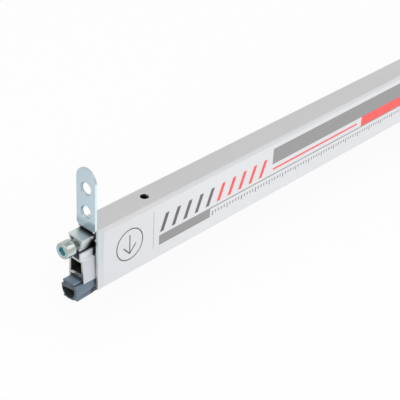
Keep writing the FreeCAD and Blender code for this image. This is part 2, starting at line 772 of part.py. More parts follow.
def make_foot_rivets():
    """Headed rivets that hold the middle of each leaf down on its carrier foot."""
    level = leaf_level + " + leaf_thickness / 2 + seat_clearance"
    return turned_pieces("foot_rivets", [near_middle, far_middle], level, [
        ("0", "rivet_head_height"),
        ("rivet_head_diameter / 2 - rivet_head_height / 2", "rivet_head_height"),
        ("rivet_head_diameter / 2", "rivet_head_height / 2"),
        ("rivet_head_diameter / 2", "0"),
        ("pin_diameter / 2", "0"),
        ("pin_diameter / 2", "- rivet_shank_length"),
        ("0", "- rivet_shank_length"),
    ])


parts = [make_housing(), make_label()]
parts.append(make_bracket("near_end_bracket", near_end, False))
parts.append(make_bracket("far_end_bracket", far_end, True))
parts += [make_pusher(), make_nut(), make_screw(), make_strip(), make_strip_pins()]
for where, slider_pin, anchor_pin, middle in zip(
        ("near", "far"), slider_pin_places(), anchor_pin_places(), (near_middle, far_middle)):
    parts.append(make_block(where + "_spring_slider", slider_pin + " - " + block_pin_inset, False, False))
    parts.append(make_block(where + "_spring_anchor", anchor_pin + " + " + block_pin_inset, True, True))
    parts.append(make_leaf(where + "_leaf_spring", middle))
    parts.append(make_spring_foot(where + "_spring_foot", middle))
parts += [make_carrier(), make_seal(), make_foot_rivets()]

block_pin_length = "( 2 * ( " + upper_rib_tip + " - side_clearance ) )"
parts.append(crosswise_pins("slider_pins", slider_pin_places(), "- spring_pin_drop",
                            "pin_diameter / 2", block_pin_length))
parts.append(crosswise_pins("anchor_pins", anchor_pin_places(), "- spring_pin_drop",
                            "pin_diameter / 2", block_pin_length))
parts.append(crosswise_pins("anchor_rivets", anchor_rivet_places(), "- anchor_rivet_drop",
                            "pin_diameter / 2", "anchor_rivet_length", start="housing_width / 2"))
parts.append(crosswise_pins("foot_pins", foot_pin_places(), "- carrier_drop - cross_pin_drop",
                            "cross_pin_diameter / 2", "carrier_flange_width"))
nut_pin_length = "pusher_top_width - 2 * " + pusher_lean + " * screw_drop - 4 * seat_clearance"
parts.append(crosswise_pins("nut_pin", [pusher_end + " + nut_recess + nut_pin_inset"],
                            pusher_top + " - screw_drop", "cross_pin_diameter / 2", nut_pin_length))

doc.recompute()
for item in doc.Objects:
    if "Invalid" in item.State or "Error" in item.State:
        raise ValueError(item.Name + " did not recompute")
for sub_part in parts:
    if sub_part.Shape.isNull() or not sub_part.Shape.isValid() or not sub_part.Shape.Solids:
        raise ValueError(sub_part.Label + " has no sound solid")

os.makedirs("parts", exist_ok=True)
for sub_part in parts:
    sub_part.Shape.exportStep("parts/" + sub_part.Label + ".step")
print("%d sub-parts, %d solids" % (len(parts), sum(len(sub_part.Shape.Solids) for sub_part in parts)))
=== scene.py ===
import math

import bmesh
import bpy
from mathutils import Matrix, Vector


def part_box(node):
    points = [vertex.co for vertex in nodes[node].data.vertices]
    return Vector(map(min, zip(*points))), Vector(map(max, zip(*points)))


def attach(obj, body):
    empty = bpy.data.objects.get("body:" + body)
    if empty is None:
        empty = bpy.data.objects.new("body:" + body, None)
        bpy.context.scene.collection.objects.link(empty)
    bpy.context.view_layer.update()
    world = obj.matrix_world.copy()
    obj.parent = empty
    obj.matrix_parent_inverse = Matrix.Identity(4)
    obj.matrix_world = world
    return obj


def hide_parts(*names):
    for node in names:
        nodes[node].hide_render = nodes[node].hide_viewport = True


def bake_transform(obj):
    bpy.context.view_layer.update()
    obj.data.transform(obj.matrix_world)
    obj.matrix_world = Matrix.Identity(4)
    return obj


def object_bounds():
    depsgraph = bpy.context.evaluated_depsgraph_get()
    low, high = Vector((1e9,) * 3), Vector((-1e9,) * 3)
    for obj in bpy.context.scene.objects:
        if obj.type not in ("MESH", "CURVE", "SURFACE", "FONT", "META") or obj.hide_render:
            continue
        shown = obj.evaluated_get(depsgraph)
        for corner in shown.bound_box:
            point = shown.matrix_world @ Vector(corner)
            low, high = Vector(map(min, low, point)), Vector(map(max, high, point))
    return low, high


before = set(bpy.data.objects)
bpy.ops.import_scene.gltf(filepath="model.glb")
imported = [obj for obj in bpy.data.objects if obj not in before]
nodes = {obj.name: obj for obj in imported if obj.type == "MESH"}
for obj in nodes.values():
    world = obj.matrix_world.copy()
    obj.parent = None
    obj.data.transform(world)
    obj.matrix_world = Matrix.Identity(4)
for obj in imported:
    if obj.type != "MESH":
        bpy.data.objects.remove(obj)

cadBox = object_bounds()
mm = 0.001    # a millimetre in Blender's metres
print("stage 1: frame loaded")


# Small helpers for shader trees.

def newMaterial(name, **settings):
    material = bpy.data.materials.new(name)
    material.use_nodes = True
    tree = material.node_tree
    tree.nodes.clear()
    output = addNode(tree, "OutputMaterial")
    shader = addNode(tree, "BsdfPrincipled", **settings)
    tree.links.new(shader.outputs[0], output.inputs[0])
    return material, tree, shader


# A setting is a property of the node where it has one of that name, and an input otherwise.
def addNode(tree, kind, **settings):
    node = tree.nodes.new("ShaderNode" + kind)
    for key, value in settings.items():
        if hasattr(node, key):
            setattr(node, key, value)
        else:
            node.inputs[key.replace("_", " ")].default_value = value
    return node


def stretchedNoise(tree, scale, size, detail=3.0):
    place = addNode(tree, "TexCoord")
    mapping = addNode(tree, "Mapping")
    mapping.inputs["Scale"].default_value = scale
    noise = addNode(tree, "TexNoise", Scale=size, Detail=detail, Roughness=0.6)
    tree.links.new(place.outputs["Object"], mapping.inputs["Vector"])
    tree.links.new(mapping.outputs[0], noise.inputs["Vector"])
    return noise.outputs["Fac"]


# Noise seldom leaves 0.3 to 0.7, so that part of it is spread over low to high.
def spread(tree, value, low, high, fromLow=0.3, fromHigh=0.7):
    node = addNode(tree, "MapRange")
    node.clamp = True
    tree.links.new(value, node.inputs["Value"])
    for key, number in (("From Min", fromLow), ("From Max", fromHigh), ("To Min", low), ("To Max", high)):
        node.inputs[key].default_value = number
    return node.outputs["Result"]


# Each colour is three numbers or another node's output. Inputs 6 and 7 are the two colours.
def mixColours(tree, factor, first, second):
    node = addNode(tree, "Mix", data_type="RGBA")
    tree.links.new(factor, node.inputs[0])
    for socket, colour in ((node.inputs[6], first), (node.inputs[7], second)):
        if isinstance(colour, tuple):
            socket.default_value = (*colour, 1.0)
        else:
            tree.links.new(colour, socket)
    return node.outputs[2]


def addBump(tree, shader, height, strength, distance):
    bump = addNode(tree, "Bump", Strength=strength, Distance=distance)
    tree.links.new(height, bump.inputs["Height"])
    tree.links.new(bump.outputs[0], shader.inputs["Normal"])


# Share of the way from start to end along an axis, in millimetres.
def along(tree, axis, start, end):
    place = addNode(tree, "TexCoord")
    parts = addNode(tree, "SeparateXYZ")
    tree.links.new(place.outputs["Object"], parts.inputs[0])
    return spread(tree, parts.outputs[axis], 0.0, 1.0, start * mm, end * mm)


def tinted(base, by):
    return tuple(min(1.0, channel * by) for channel in base)


# A patch where every ramp, given as (axis, start, end), is past its start. It takes a share of the base
# colour, or a colour of its own. Most patches are painted shade and painted light.
def addPatch(tree, colour, base, by, *ramps):
    share = along(tree, *ramps[0])
    for ramp in ramps[1:]:
        both = addNode(tree, "Math", operation="MULTIPLY")
        tree.links.new(share, both.inputs[0])
        tree.links.new(along(tree, *ramp), both.inputs[1])
        share = both.outputs[0]
    return mixColours(tree, share, colour, by if isinstance(by, tuple) else tinted(base, by))


def patched(tree, colour, base, patches):
    for by, *ramps in patches:
        colour = addPatch(tree, colour, base, by, *ramps)
    return colour


# Colour, roughness between two values over the grain, and the grain as a fine bump.
def dress(tree, shader, colour, grain, smoothest, roughest, strength=0.0, depth=0.0):
    tree.links.new(colour, shader.inputs["Base Color"])
    tree.links.new(spread(tree, grain, smoothest, roughest), shader.inputs["Roughness"])
    if strength:
        addBump(tree, shader, grain, strength, depth)


# Drawn aluminium: long fine lines along the profile.
def drawnAluminium(name, base, rough=0.3, lines=0.025, mottle=0.04, metal=1.0, patches=()):
    material, tree, shader = newMaterial(name, Metallic=metal)
    fine = stretchedNoise(tree, (6.0, 900.0, 900.0), 3.0)
    cloud = stretchedNoise(tree, (14.0, 70.0, 70.0), 1.0, detail=2.0)
    drawn = mixColours(tree, spread(tree, fine, 0.0, 1.0), tinted(base, 1 - lines), tinted(base, 1 + lines))
    clouded = mixColours(tree, spread(tree, cloud, 0.0, 1.0), drawn, tinted(base, 1 - mottle))
    colour = patched(tree, clouded, base, patches)
    dress(tree, shader, colour, fine, rough - 0.04, rough + 0.06, strength=0.08, depth=0.04 * mm)
    return material


# Sawn aluminium: short marks across the cut.
def sawnAluminium(name, base, rough=0.45, metal=1.0):
    material, tree, shader = newMaterial(name, Metallic=metal)
    saw = stretchedNoise(tree, (900.0, 1500.0, 260.0), 1.0, detail=2.0)
    marked = mixColours(tree, spread(tree, saw, 0.0, 1.0), tinted(base, 0.82), tinted(base, 1.12))
    dress(tree, shader, marked, saw, rough - 0.08, rough + 0.1, strength=0.2, depth=0.06 * mm)
    return material


# The inside of a profile, in painted shade: metal at its mouth, dark further in where little light reaches.
def shadedInside(name, base, rough=0.6, mouth=None, mouthAt=((-210.0, -215.0), (210.0, 215.0))):
    material, tree, shader = newMaterial(name, Specular_IOR_Level=0.15)
    cloud = stretchedNoise(tree, (20.0, 200.0, 200.0), 1.0)
    marked = mixColours(tree, spread(tree, cloud, 0.0, 1.0), tinted(base, 0.8), tinted(base, 1.2))
    if mouth:
        for start, end in mouthAt:
            marked = mixColours(tree, along(tree, "X", start, end), marked, mouth)
    dress(tree, shader, marked, cloud, rough - 0.05, rough + 0.1)
    return material


# Zinc plate and turned steel: a faint cloud of two tints, with a fine grain.
def zincPlate(name, base, rough=0.24, mottle=0.05, grainRough=0.06, grainDepth=0.06, metal=1.0, patches=()):
    material, tree, shader = newMaterial(name, Metallic=metal)
    cloud = stretchedNoise(tree, (1.0, 1.0, 0.6), 160.0, detail=4.0)
    grain = stretchedNoise(tree, (1.0, 1.0, 1.0), 2600.0, detail=2.0)
    cool = tinted(base, 1 - mottle)
    warm = (min(1.0, base[0] * (1 + mottle)), min(1.0, base[1] * 1.01), base[2] * 0.98)
    marked = mixColours(tree, spread(tree, cloud, 0.0, 1.0), cool, warm)
    colour = patched(tree, marked, base, patches)
    dress(tree, shader, colour, grain, rough - grainRough / 2, rough + grainRough,
          strength=grainDepth, depth=0.03 * mm)
    return material


def mouldedPlastic(name, base, rough=0.5, patches=()):
    material, tree, shader = newMaterial(name)
    grain = stretchedNoise(tree, (1.0, 1.0, 1.0), 1800.0)
    marked = mixColours(tree, spread(tree, grain, 0.0, 1.0), tinted(base, 0.85), base)
    colour = patched(tree, marked, base, patches)
    dress(tree, shader, colour, grain, rough - 0.08, rough + 0.08, strength=0.12, depth=0.05 * mm)
    return material


def rubberLike(name, base, rough=0.45, patches=()):
    material, tree, shader = newMaterial(name, Sheen_Weight=0.1)
    grain = stretchedNoise(tree, (1.0, 1.0, 1.0), 1500.0)
    streak = stretchedNoise(tree, (4.0, 500.0, 500.0), 1.5)
    marked = mixColours(tree, spread(tree, streak, 0.0, 1.0), tinted(base, 0.86), base)
    colour = patched(tree, marked, base, patches)
    dress(tree, shader, colour, grain, rough - 0.08, rough + 0.08, strength=0.12, depth=0.05 * mm)
    return material


# Ink and the film under it: a fine printing screen, and nearEnd as the share of the colour at the plunger.
def printedInk(name, base, nearEnd=1.0):
    material, tree, shader = newMaterial(name)
    screen = stretchedNoise(tree, (1.0, 1.0, 1.0), 5200.0, detail=2.0)
    faded = tuple(channel + (1.0 - channel) * 0.1 for channel in base)
    printed = mixColours(tree, spread(tree, screen, 0.0, 1.0), base, faded)
    toned = mixColours(tree, along(tree, "X", -212.0, -150.0), tinted(base, nearEnd), printed)
    dress(tree, shader, toned, screen, 0.34, 0.44)
    return material


# The carrier is darker just inside the housing's mouth.
carrierShade = (0.08, ("X", -215.4, -214.6), ("X", -206.0, -209.0))

finishes = {
    # The roof is a darker copy of the wall's aluminium: painted shade.
    "roof": drawnAluminium("drawnRoof", (0.575, 0.575, 0.58)),
    "wall": drawnAluminium("drawnWall", (0.765, 0.77, 0.785), rough=0.35, patches=(
        ((0.68, 0.74, 0.775), ("X", -210.0, -212.0), ("Z", -29.0, -14.0)),)),
    "sawn": sawnAluminium("sawnEnd", (0.50, 0.495, 0.48), rough=0.24),
    "sawnPusher": sawnAluminium("sawnPusherEnd", (0.60, 0.65, 0.64), rough=0.6, metal=0.25),
    "sawnWall": sawnAluminium("sawnWallEnd", (0.80, 0.78, 0.745)),
    # easedEdge is a lighter copy for broken edges and the housing's foot: painted highlight.
    "eased": drawnAluminium("easedEdge", (0.78, 0.81, 0.84), rough=0.45),
    # housingInside, innerInside, pusherInside and boxInside are painted shade.
    "housingInside": shadedInside("housingInside", (0.02, 0.02, 0.022), mouth=(0.30, 0.29, 0.28)),
    # innerFlange and innerLedge are lighter copies of inner, painted light; carrierShade on them is painted
    # shade.
    "inner": drawnAluminium("drawnInner", (0.64, 0.665, 0.705), rough=0.45, metal=0.45),
    "innerFlange": drawnAluminium("drawnFlange", (0.78, 0.822, 0.858), rough=0.5, metal=0.3,
                                  patches=(carrierShade,)),
    "innerLedge": drawnAluminium("drawnLedge", (0.90, 0.92, 0.935), rough=0.6, metal=0.1,
                                 patches=(carrierShade,)),
    "burr": sawnAluminium("burrMetal", (0.55, 0.52, 0.46), rough=0.5),
    "innerInside": shadedInside("innerInside", (0.15, 0.165, 0.195)),
    "pusherInside": shadedInside("pusherInside", (0.05, 0.055, 0.06), mouth=(0.38, 0.41, 0.41),
                               mouthAt=((-219.0, -221.0),)),
    "boxInside": shadedInside("boxInside", (0.026, 0.027, 0.027)),
    # The plunger's top and side carry painted shadow by the bracket and the housing; pusherEdge is a lighter
    # copy, a painted highlight.
    "pusherTop": drawnAluminium("drawnPusher", (0.675, 0.725, 0.725), rough=0.34, mottle=0.08,
                                patches=((0.31, ("X", -218.8, -215.8), ("X", -205.0, -209.0)),)),
    "pusherSide": drawnAluminium("drawnPusherSide", (0.72, 0.77, 0.83), rough=0.2, patches=(
        (0.4, ("X", -216.6, -214.6), ("Z", -5.6, -7.6), ("X", -205.0, -209.0)),
        (0.14, ("Z", -8.1, -8.5), ("X", -205.0, -209.0)))),
    "pusherEdge": drawnAluminium("easedPusherEdge", (0.86, 0.90, 0.94), rough=0.35),
    # The plate is darker towards its bend: painted shade and a painted reflection of the dark gap below.
    "plate": zincPlate("brightZinc", (0.505, 0.62, 0.70), rough=0.13, grainRough=0.04,
                       patches=((0.7, ("Z", 4.0, 1.5)),)),
    # plateEdge is a lighter copy for the plate's edges: painted highlight.
    "plateEdge": zincPlate("zincEdgeHighlight", (0.76, 0.90, 0.96), rough=0.25, mottle=0.0, metal=0.55),
    # plateArc is a darker copy for the tab's rounded top: painted shade.
    "plateArc": zincPlate("zincArcShade", (0.47, 0.55, 0.58), rough=0.42, grainDepth=0.0),
    # plateBore is a darker copy for the holes: painted shade.
    "plateBore": zincPlate("zincBoreShade", (0.42, 0.52, 0.57), rough=0.22),
    # plateBend is a dark copy for the bend's underside: painted shade and a painted dark reflection.
    "plateBend": zincPlate("zincBendShade", (0.12, 0.14, 0.15), rough=0.3),
    "steel": zincPlate("turnedSteel", (0.40, 0.465, 0.47), rough=0.31, grainRough=0.03, grainDepth=0.02),
    # The head's side is lighter on its lower half: painted light.
    "headSide": zincPlate("turnedHeadSide", (0.44, 0.48, 0.46), rough=0.19, grainRough=0.03, grainDepth=0.01,
                          patches=(((0.57, 0.655, 0.66), ("Z", -5.2, -6.6)),)),
    "socket": zincPlate("socketSteel", (0.36, 0.59, 0.65), rough=0.35),
    "wire": zincPlate("drawnWire", (0.50, 0.51, 0.53), rough=0.3),
    "spring": zincPlate("rolledSpring", (0.35, 0.37, 0.40), rough=0.3),
    # The thread is darker than the head's steel: painted shade between the head and the plunger.
    "thread": zincPlate("threadSteel", (0.30, 0.34, 0.34), rough=0.3),
    "block": mouldedPlastic("greyGreenBlock", (0.20, 0.24, 0.24)),
    # The nut's upper corner on the far side is near black: painted shade in the gap by the plunger's wall.
    "nut": mouldedPlastic("greyGreenNut", (0.46, 0.53, 0.52), patches=(
        (0.04, ("Y", 1.5, 1.9), ("Z", -5.4, -4.8)),)),
    "film": printedInk("paleFilm", (0.765, 0.775, 0.80), nearEnd=0.925),
    # The seal's patches are painted light on the head's top and low on the bulb, and painted shade on the
    # fin, by and inside the housing, and by the carrier.
    "silicone": rubberLike("slateSilicone", (0.136, 0.186, 0.248), patches=(
        (1.2, ("Z", -24.7, -24.3)),
        (1.06, ("Z", -28.0, -28.6), ("Z", -30.2, -29.9)),
        (0.84, ("Z", -29.9, -30.1), ("Z", -31.1, -30.5)),
        (0.32, ("X", -217.6, -216.7), ("Z", -27.4, -28.6), ("X", -213.0, -214.8)),
        (0.4, ("X", -215.7, -215.0), ("X", -213.0, -214.8)),
        (0.4, ("X", -223.4, -221.9), ("Z", -24.2, -23.4), ("X", -213.0, -214.8)))),
    # siliconeCut is a darker copy for the cut ends: painted shade.
    "siliconeCut": rubberLike("slateSiliconeCutShade", (0.058, 0.08, 0.102), rough=0.6),
    # siliconeInside is a dark copy for the hollow and the notch: painted shade.
    "siliconeInside": rubberLike("slateSiliconeShade", (0.034, 0.042, 0.05), rough=0.6),
    "darkInk": printedInk("darkInk", (0.10, 0.088, 0.085)),
    "greyInk": printedInk("greyInk", (0.28, 0.275, 0.28)),
    "softInk": printedInk("softInk", (0.42, 0.40, 0.41)),
    "redInk": printedInk("redInk", (0.97, 0.055, 0.045)),
}

nodesByFinish = {
    "roof": ["housing_profile"],
    "inner": ["carrier_profile", "pusher_profile"],
    "plate": ["near_end_bracket", "far_end_bracket"],
    "nut": ["screw_nut"],
    "spring": ["push_strip", "near_leaf_spring", "far_leaf_spring"],
    "block": ["near_spring_slider", "far_spring_slider", "near_spring_anchor", "far_spring_anchor",
              "near_spring_foot", "far_spring_foot"],
    "wire": ["nut_pin", "strip_pins", "slider_pins", "anchor_pins", "anchor_rivets", "foot_rivets",
             "foot_pins"],
    "steel": ["adjusting_screw"],
    "silicone": ["silicone_seal"],
    "film": ["product_label"],
}
for finish, nodeNames in nodesByFinish.items():
    for nodeName in nodeNames:
        data = nodes[nodeName].data
        data.materials.clear()
        data.materials.append(finishes[finish])
print("stage 2: finishes")


def newObject(name, data):
    made = bpy.data.objects.new(name, data)
    bpy.context.scene.collection.objects.link(made)
    return made


def newPiece(name, mesh, body, *finishNames):
    mesh.update()
    piece = newObject(name, mesh)
    for finishName in finishNames:
        mesh.materials.append(finishes[finishName])
    if body:
        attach(piece, body)
    return piece


def meshFrom(name, points, faces, slots=None, smooth=False):
    mesh = bpy.data.meshes.new(name)
    mesh.from_pydata(points, [], faces)
    for index, polygon in enumerate(mesh.polygons):
        polygon.use_smooth = smooth
        if slots:
            polygon.material_index = slots[index]
    return mesh


# Faces between two rings of points, from the number that each ring starts at.
def ringFaces(first, second, count):
    return [(first + i, first + (i + 1) % count, second + (i + 1) % count, second + i) for i in range(count)]


# Metal pieces that follow their CAD solids, with broken edges and a finish for each kind of face;
# several finishes are lighter or darker copies of one metal, painted light and shade.

touch = 0.05                     # how close two heights count as the same, in millimetres
weld = 0.0001 * mm               # points closer than this are one
flatUnder = math.radians(0.5)    # faces that meet at less than this are one
breakFrom = math.radians(30)     # edges sharper than this are broken
creaseFrom = math.radians(50)    # edges sharper than this stay creased


def formOf(nodeName):
    form = bmesh.new()
    form.from_mesh(nodes[nodeName].data)
    bmesh.ops.remove_doubles(form, verts=form.verts, dist=weld)
    bmesh.ops.dissolve_limit(form, angle_limit=flatUnder, verts=form.verts, edges=form.edges)
    for face in form.faces:
        face.material_index = 0
        face.smooth = True
    return form


def isCut(face):
    return abs(face.normal.x) > 0.9


def paint(face, part, finish):
    face.material_index = part["finishes"].index(finish)


def hasFinish(face, part, *wanted):
    return part["finishes"][face.material_index] in wanted


def breakEdges(form, part, finish, wanted=lambda edge: True):
    edges = [edge for edge in form.edges if edge.is_manifold and edge.is_convex
             and edge.calc_face_angle(0) > breakFrom and wanted(edge)]
    bmesh.ops.bevel(form, geom=edges, offset=part["edge"], offset_type="OFFSET", segments=2, profile=0.5,
                    affect="EDGES", clamp_overlap=True, material=part["finishes"].index(finish))


def metalPiece(form, part, name, nodeName, body):
    mesh = bpy.data.meshes.new(name)
    for edge in form.edges:
        edge.smooth = edge.calc_face_angle(0) < creaseFrom
    form.to_mesh(mesh)
    form.free()
    piece = newPiece(name, mesh, body, *part["finishes"])
    evenNormals = piece.modifiers.new("evenNormals", "WEIGHTED_NORMAL")
    evenNormals.keep_sharp = True
    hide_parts(nodeName)


housing = {
    "finishes": ("roof", "wall", "sawnWall", "housingInside", "eased"),
    "edge": 0.12 * mm,
    "halfWidth": 6.0,
    "height": 30.0,
    "roofCorner": 0.45,    # the rounding along the roof
}


# The sawn ends are broken along their outside only.
def onOuterCut(edge):
    return (any(isCut(face) for face in edge.link_faces)
            and not any(hasFinish(face, housing, "housingInside") for face in edge.link_faces))


def buildHousing():
    form = formOf("housing_profile")
    for face in form.faces:
        centre = face.calc_center_median() / mm
        if isCut(face):
            paint(face, housing, "sawnWall")
        elif centre.z > -housing["roofCorner"] and (face.normal.z > 0.1 or abs(face.normal.y) > 0.5):
            paint(face, housing, "roof")
        elif abs(centre.y) > housing["halfWidth"] - touch:
            paint(face, housing, "wall")
        elif centre.z < touch - housing["height"]:
            paint(face, housing, "eased")
        else:
            paint(face, housing, "housingInside")
    breakEdges(form, housing, "eased", onOuterCut)
    metalPiece(form, housing, "housingChannel", "housing_profile", "housing")


bracket = {
    "finishes": ("plate", "plateEdge", "plateBore", "plateBend", "plateArc"),
    "edge": 0.16 * mm,
    "holes": (6.8, 18.0),           # their heights over the roof
    "rim": 3.4,                     # radius of a hole with its countersink
    "square": 0.95,                 # share of a normal that makes a face square to an axis
    "bendTilt": (-0.999, -0.02),    # and of one that turns down in the bend
}


def byBracketHole(place):
    return any(math.hypot(place.y / mm, place.z / mm - height) < bracket["rim"]
               for height in bracket["holes"])


def buildBracket(name, nodeName):
    form = formOf(nodeName)
    leastTilt, mostTilt = bracket["bendTilt"]
    for face in form.faces:
        centre, normal = face.calc_center_median(), face.normal
        # The sheet's sides take the painted highlight, as do the broken edges.
        if abs(normal.y) > bracket["square"]:
            paint(face, bracket, "plateEdge")
        # The underside of the bend takes the dark copy: painted shade.
        if centre.z < 0 and abs(normal.y) < 0.1 and leastTilt < normal.z < mostTilt:
            paint(face, bracket, "plateBend")
        # The holes take the darker copy: painted shade.
        if abs(normal.x) < bracket["square"] and byBracketHole(centre):
            paint(face, bracket, "plateBore")
    breakEdges(form, bracket, "plateEdge",
               lambda edge: not all(byBracketHole(vert.co) for vert in edge.verts))
    for face in form.faces:    # the rounded top of the tab, in a darker copy: painted shade
        upwards = abs(face.normal.x) < bracket["square"] and face.normal.z > 0.1
        if upwards and face.calc_center_median().z > 0 and hasFinish(face, bracket, "plate", "plateEdge"):
            paint(face, bracket, "plateArc")
    metalPiece(form, bracket, name, nodeName, "housing")


pusher = {
    "finishes": ("pusherTop", "pusherSide", "sawnPusher", "pusherInside", "pusherEdge"),
    "edge": 0.2 * mm,
    "sideFrom": 2.0,       # faces further out than this and turned outwards are the sides
    "lowerEdge": 0.4,      # height of the broken edges that look as the sides do
}


def buildPusher():
    form = formOf("pusher_profile")
    low, high = (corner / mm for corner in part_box("pusher_profile"))
    for face in form.faces:
        centre = face.calc_center_median() / mm
        outwards = abs(centre.y) > pusher["sideFrom"] and face.normal.y * centre.y > 0
        if isCut(face):
            paint(face, pusher, "sawnPusher")
        elif centre.z > high.z - touch:
            paint(face, pusher, "pusherTop")
        elif outwards or centre.z < low.z + touch:
            paint(face, pusher, "pusherSide")
        else:
            paint(face, pusher, "pusherInside")
    breakEdges(form, pusher, "pusherEdge")
    # Broken edges low down take the side's colour instead of the painted highlight.
    for face in form.faces:
        lowDown = face.calc_center_median().z / mm < low.z + pusher["lowerEdge"]
        if lowDown and hasFinish(face, pusher, "pusherEdge"):
            paint(face, pusher, "pusherSide")
    metalPiece(form, pusher, "plungerProfile", "pusher_profile", "plunger")


carrier = {
    "finishes": ("inner", "sawn", "innerInside", "boxInside", "eased", "innerFlange", "innerLedge"),
    "edge": 0.1 * mm,
    "floor": -13.45,
    "boxTop": -14.45,
    "boxFloor": -20.15,
    "boxHalf": 3.45,
    "flangeHalf": 2.0,     # half the space between the flanges
    "ledgeFrom": 2.8,      # where the floor goes on outside the flanges
    "grooveHalf": 3.6,     # half the groove that holds the seal
    "wall": 1.0,
    "askew": 0.18,         # slope of the lower wall of the box across its near end
    "askewFrom": 1.4,      # where it crosses the solid's own height, on the label's side
    "thicker": 0.92,       # what that wall gains there, on the seal's side
    "flangeTrim": 0.85,    # how much lower the flanges end than the solid's
}


def carrierFinish(face, low, high):
    centre = face.calc_center_median() / mm
    across = abs(centre.y)
    if isCut(face):
        return "sawn"
    if across < carrier["boxHalf"] and carrier["boxFloor"] - touch < centre.z < carrier["boxTop"] + touch:
        return "boxInside"
    if across < carrier["flangeHalf"] and carrier["floor"] - touch < centre.z < high.z - touch:
        return "innerInside"
    if across < carrier["grooveHalf"] and low.z + touch < centre.z < carrier["boxFloor"] - 0.5:
        return "innerInside"
    # The ledge and the flanges take the lighter copies: painted light.
    if across > carrier["ledgeFrom"] and abs(centre.z - carrier["floor"]) < 2 * touch and face.normal.z > 0.9:
        return "innerLedge"
    return "innerFlange" if centre.z > carrier["floor"] - touch else "inner"


def buildCarrier():
    form = formOf("carrier_profile")
    low, high = (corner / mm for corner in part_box("carrier_profile"))
    for face in form.faces:
        paint(face, carrier, carrierFinish(face, low, high))
    for vert in form.verts:
        atNearEnd, belowFloor = vert.co.x / mm < low.x + 1, carrier["boxFloor"] - vert.co.z / mm
        if atNearEnd and abs(belowFloor) < 2 * touch:
            vert.co.z -= carrier["askew"] * (vert.co.y + carrier["askewFrom"] * mm)
        elif atNearEnd and abs(belowFloor - carrier["wall"]) < 2 * touch:
            vert.co.z -= carrier["thicker"] * mm
        if vert.co.z / mm > high.z - 2 * touch:
            vert.co.z -= carrier["flangeTrim"] * mm
    breakEdges(form, carrier, "eased")
    metalPiece(form, carrier, "carrierRail", "carrier_profile", "drop_seal")


# What the saw left on the lower wall of the box: a row of teeth, each as (y, height).

burr = {
    "name": "sawBurr",
    "foot": -20.25,
    "lean": 0.25 * mm,
    "depth": 0.35 * mm,
    "tipShift": 0.1,
    "teeth": ((2.5, 0.1), (2.1, 0.5), (1.7, 0.35), (1.3, 0.75),
              (0.9, 0.3), (0.5, 0.2), (0.0, 0.25), (-0.5, 0.1)),
}


def buildBurr():
    points, faces = [], []
    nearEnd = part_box("carrier_profile")[0].x
    for number, (y, height) in enumerate(burr["teeth"]):
        front = nearEnd - burr["lean"] * (number % 2)
        foot = burr["foot"] - carrier["askew"] * (y + carrier["askewFrom"])
        points += [(front, y * mm, foot * mm),
                   (front, (y + burr["tipShift"]) * mm, (foot + height) * mm),
                   (nearEnd + burr["depth"], y * mm, foot * mm)]
    last = len(points) - 3
    for start in range(0, last, 3):
        faces += ringFaces(start + 3, start, 3)
    faces += [(0, 1, 2), (last + 2, last + 1, last)]
    piece = newPiece(burr["name"], meshFrom(burr["name"], points, faces), "drop_seal", "burr")


buildHousing()
buildBracket("nearBracketPlate", "near_end_bracket")
buildBracket("farBracketPlate", "far_end_bracket")
buildPusher()
buildCarrier()
buildBurr()
print("stage 3: metal profiles and brackets")


# The printed film: a thin sheet with flat raised fields of ink.

film = {
    "name": "labelFilm",
    "finishes": ("film", "darkInk", "greyInk", "softInk", "redInk"),
    "depth": 0.07 * mm,
    "inkDepth": 0.025 * mm,
    "inkSunk": 0.01 * mm,     # how far the ink goes into the sheet
    "cornerRadius": 0.8 * mm,
    "cornerSteps": 6,
    "ringSteps": 72,
    "mark": (-196.6, -15.2),  # middle of the ring and its arrow
    "ring": (7.6, 0.55),      # its radius and width
    "arrow": {"half": 4.7, "barb": 3.6, "barbRise": 4.0, "width": 0.6},
    "bars": 10,
    "darkBars": 5,
    "barStart": -178.4,
    "barStep": 7.3,
    "barWidth": 2.2,
    "barHeight": (-17.3, -8.8),
    "barSlant": 3.4,
    "ticks": 90,
    "tickStart": -144.6,
    "tickStep": 2.0,
    "tickWidth": 0.5,
    "tickHeight": (-23.6, -21.2),
    "longTick": 5,            # each fifth tick is longer
    "shortBy": 0.9,
    # Plain bands: ink, left, right, bottom and top.
    "divider": ("softInk", -182.5, -182.2, -24.1, -5.1),
    "lowBands": (("greyInk", -178.8, -146.0, -23.9, -18.9), ("greyInk", -146.0, 87.0, -19.45, -18.85)),
    "highBands": (("greyInk", -103.0, 87.0, -13.25, -4.8), ("redInk", -32.4, 87.0, -18.85, -13.25),
                  ("redInk", -102.4, -36.0, -16.6, -15.6)),
}
inkFields = []


def inkField(ink, *corners):
    inkFields.append((ink, [(x * mm, z * mm) for x, z in corners]))


def inkBar(ink, left, right, bottom, top, slant=0.0):
    inkField(ink, (left, bottom), (right, bottom), (right + slant, top), (left + slant, top))


# An arrow that points down, in one outline: half of it is listed and the rest mirrored.
def inkArrow(ink, centre, half, barb, barbRise, width):
    tipHalf = width / 2 * math.hypot(barb, barbRise) / barb
    slope = Vector((barb, barbRise)).normalized()
    across = Vector((-slope.y, slope.x)) * width
    end = Vector((barb, barbRise - half)) - across / 2
    inner = end + across
    joint = inner - slope * (inner.x - width / 2) / slope.x
    right = [(end.x, end.y), (inner.x, inner.y), (joint.x, joint.y), (width / 2, half)]
    outline = [(0, -half - tipHalf)] + right + [(-x, z) for x, z in right[::-1]]
    inkField(ink, *[(centre[0] + x, centre[1] + z) for x, z in outline])


